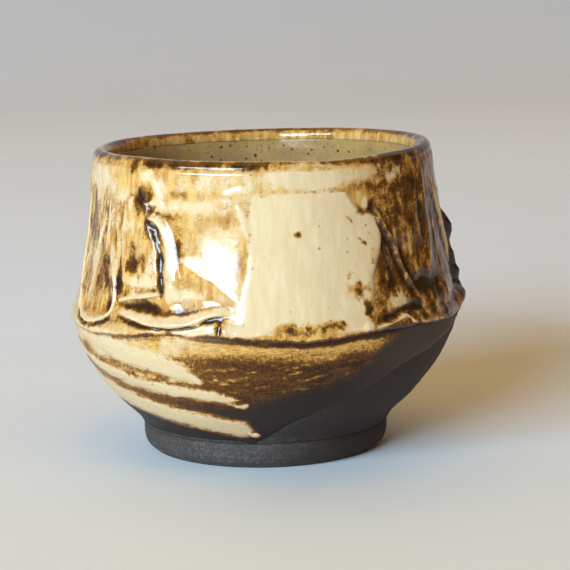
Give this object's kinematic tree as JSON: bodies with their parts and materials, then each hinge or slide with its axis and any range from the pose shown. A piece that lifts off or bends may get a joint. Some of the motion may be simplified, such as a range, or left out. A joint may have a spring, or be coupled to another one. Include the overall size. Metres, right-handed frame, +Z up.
{
  "type": "tea bowl",
  "caption": "Round handleless stoneware tea bowl with a waist, a turned foot ring, a glazed inside and thick slip ridges laid on the outside; holds a hot drink.",
  "frame": {"origin": "centre of the foot ring on the table", "axes": "+Z up along the axis of the bowl, -Y to the front with the cream panel, +X to the right"},
  "size_m": [0.1072, 0.1058, 0.0824],
  "materials": {
    "bare_clay": "matte",
    "liner": "gloss",
    "iron_rim": "gloss",
    "amber_slip": "gloss",
    "cream_slip": "gloss",
    "pale_slip": "gloss",
    "belly_brown": "satin"
  },
  "bodies": {
    "root": {"thrown_bowl": "bare_clay", "foot_ring": "bare_clay", "liner_glaze": "liner", "rim_glaze": "iron_rim", "wall_slip": "amber_slip", "waist_band": "amber_slip", "belly_glaze": "belly_brown", "cream_panel": "cream_slip", "left_slab": "amber_slip", "tongue_rim": "pale_slip", "hook_ridge": "pale_slip", "shelf_ridge": "pale_slip", "wave_ridge": "pale_slip", "fold_ridge": "amber_slip", "short_fold": "amber_slip", "torn_edge": "pale_slip", "fin_ridge": "amber_slip", "waist_knob": "amber_slip", "upper_swipe": "cream_slip", "middle_swipe": "cream_slip", "lower_swipe": "cream_slip", "slip_bead": "cream_slip", "back_panel": "cream_slip", "back_hook": "pale_slip", "back_fold": "amber_slip", "back_wave": "pale_slip"}
  },
  "joints": []
}
